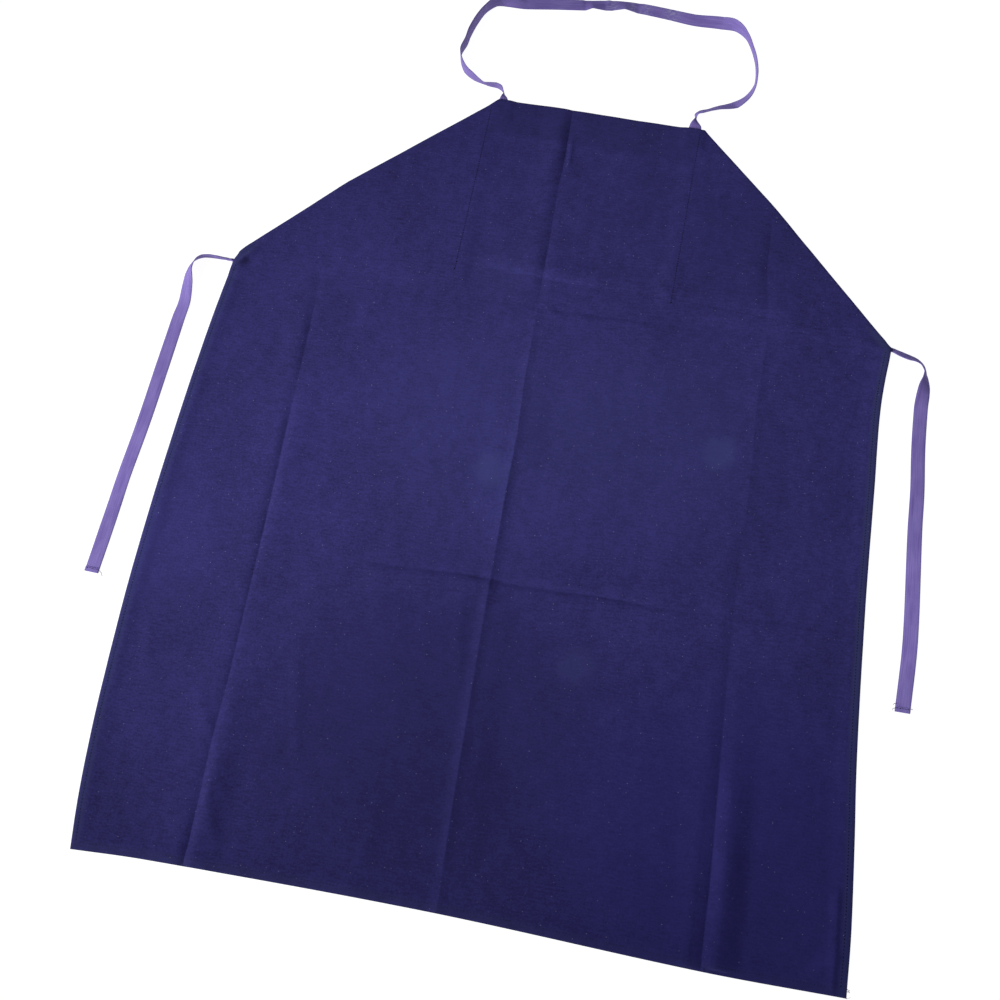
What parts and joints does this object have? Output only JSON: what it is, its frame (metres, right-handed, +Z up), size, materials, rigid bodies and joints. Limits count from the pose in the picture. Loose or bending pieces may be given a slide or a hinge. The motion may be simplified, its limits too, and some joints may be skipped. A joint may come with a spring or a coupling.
{
  "type": "work apron",
  "caption": "Work apron lying flat: a cloth panel whose top corners are folded behind to shape the bib, with hemmed edges, a tape loop for the neck and tape ties at the waist.",
  "frame": {"origin": "on the surface that the apron lies on, under the middle of the panel", "axes": "+Z up from the surface, +Y from the bottom edge to the neck, +X to the right as seen from above"},
  "size_m": [0.9197, 1.1827, 0.016],
  "materials": {
    "apron_cloth": "matt, dyed dark blue, plain woven",
    "apron_tape": "matt, dyed lavender, woven tape"
  },
  "bodies": {
    "root": {"front_panel": "apron_cloth", "left_corner_flap": "apron_cloth", "right_corner_flap": "apron_cloth", "top_hem": "apron_cloth", "bottom_hem": "apron_cloth", "left_side_hem": "apron_cloth", "right_side_hem": "apron_cloth", "neck_loop": "apron_tape", "left_tie": "apron_tape", "right_tie": "apron_tape"}
  },
  "joints": []
}
